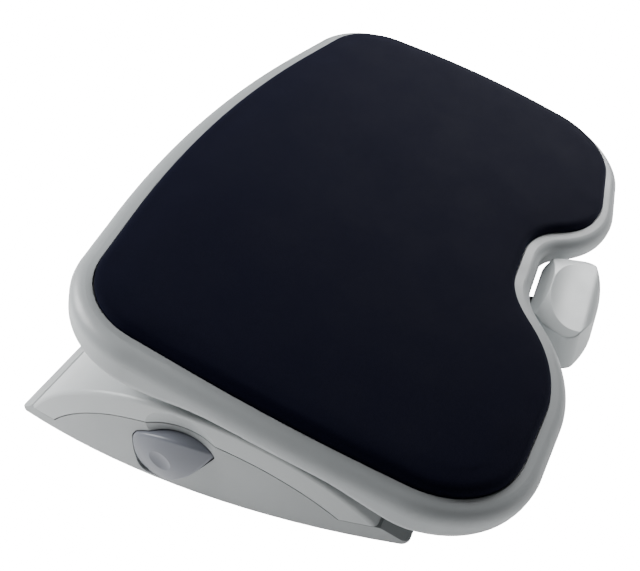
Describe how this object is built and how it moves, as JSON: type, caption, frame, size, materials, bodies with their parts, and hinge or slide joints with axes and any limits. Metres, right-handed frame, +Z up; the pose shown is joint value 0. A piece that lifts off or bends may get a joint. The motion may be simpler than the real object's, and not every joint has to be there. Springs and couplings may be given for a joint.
{
  "type": "tilting under desk footrest",
  "caption": "Free-standing footrest: padded tilting platform on a height-adjustable base, with a foot pedal that frees the tilt and push buttons on the sides.",
  "frame": {"origin": "on the floor under the middle of the whole footrest as it stands at rest", "axes": "+X across the footrest, to the right of the user; +Y away from the user, towards the high edge; +Z up"},
  "size_m": [0.5462, 0.389, 0.1482],
  "materials": {
    "frame_plastic": "fine satin moulded plastic, pale cool grey",
    "riser_plastic": "fine satin moulded plastic, pale grey",
    "base_plastic": "fine satin moulded plastic, mid grey",
    "pedal_plastic": "smooth moulded plastic, light grey",
    "button_plastic": "smooth moulded plastic, violet grey",
    "pad_fabric": "close knitted navy black fabric over foam",
    "inner_plastic": "dark grey reinforced plastic",
    "bush_plastic": "natural low friction plastic",
    "rubber": "black rubber",
    "steel": "ground steel",
    "plated_steel": "zinc plated sheet steel",
    "screw_steel": "zinc plated screw"
  },
  "bodies": {
    "base": {"base_tray": "base_plastic", "rubber_feet": "rubber", "guide_frame_left": "inner_plastic", "guide_frame_right": "inner_plastic", "guide_screws": "screw_steel", "button_spring_left": "steel", "button_spring_right": "steel"},
    "riser": {"riser_cover": "riser_plastic", "tilt_axle": "steel", "axle_clips": "steel", "riser_screws": "screw_steel", "pedal_bracket": "inner_plastic", "pedal_pin": "steel", "lever_pin": "steel", "hinge_bracket_left": "plated_steel", "hinge_bracket_right": "plated_steel", "slide_rail_left": "inner_plastic", "slide_rail_right": "inner_plastic", "brake_spring": "steel"},
    "platform": {"platform_frame": "frame_plastic", "foam_pad": "pad_fabric", "axle_bushes": "bush_plastic", "ear_screws": "screw_steel", "brake_sector": "plated_steel", "pivot_ear_left": "inner_plastic", "pivot_ear_right": "inner_plastic"},
    "pedal": {"pedal": "pedal_plastic", "pedal_arm": "inner_plastic", "pedal_screws": "screw_steel"},
    "brake_lever": {"brake_lever": "inner_plastic", "brake_shoe": "rubber"},
    "button_left": {"height_button_left": "button_plastic", "latch_plate_left": "plated_steel", "latch_plunger_left": "steel", "button_screw_left": "screw_steel"},
    "button_right": {"height_button_right": "button_plastic", "latch_plate_right": "plated_steel", "latch_plunger_right": "steel", "button_screw_right": "screw_steel"}
  },
  "joints": [
    {"name": "height_slide", "type": "slide", "parent": "base", "child": "riser", "axis": [0, 0, 1], "range_m": [0, 0.036]},
    {"name": "platform_tilt", "type": "hinge", "parent": "riser", "child": "platform", "pos_m": [0, -0.0086, 0.066], "axis": [1, 0, 0], "range_deg": [-16.2, 4.8]},
    {"name": "pedal_press", "type": "hinge", "parent": "riser", "child": "pedal", "pos_m": [0, -0.073, 0.0145], "axis": [1, 0, 0], "range_deg": [0, 5], "stiffness_Nm_per_rad": 3, "springref_deg": -8.59},
    {"name": "brake_release", "type": "hinge", "parent": "riser", "child": "brake_lever", "pos_m": [0, -0.031, 0.02], "axis": [1, 0, 0], "range_deg": [-5, 0], "deforming": ["brake_spring"]},
    {"name": "button_left_press", "type": "slide", "parent": "base", "child": "button_left", "axis": [1, 0, 0], "range_m": [0, 0.004], "stiffness_N_per_m": 800, "springref_m": -0.004},
    {"name": "button_right_press", "type": "slide", "parent": "base", "child": "button_right", "axis": [-1, 0, 0], "range_m": [0, 0.004], "stiffness_N_per_m": 800, "springref_m": -0.004}
  ],
  "couplings": [
    {"joint": "brake_release", "follows": "pedal_press", "ratio": -0.9091}
  ]
}
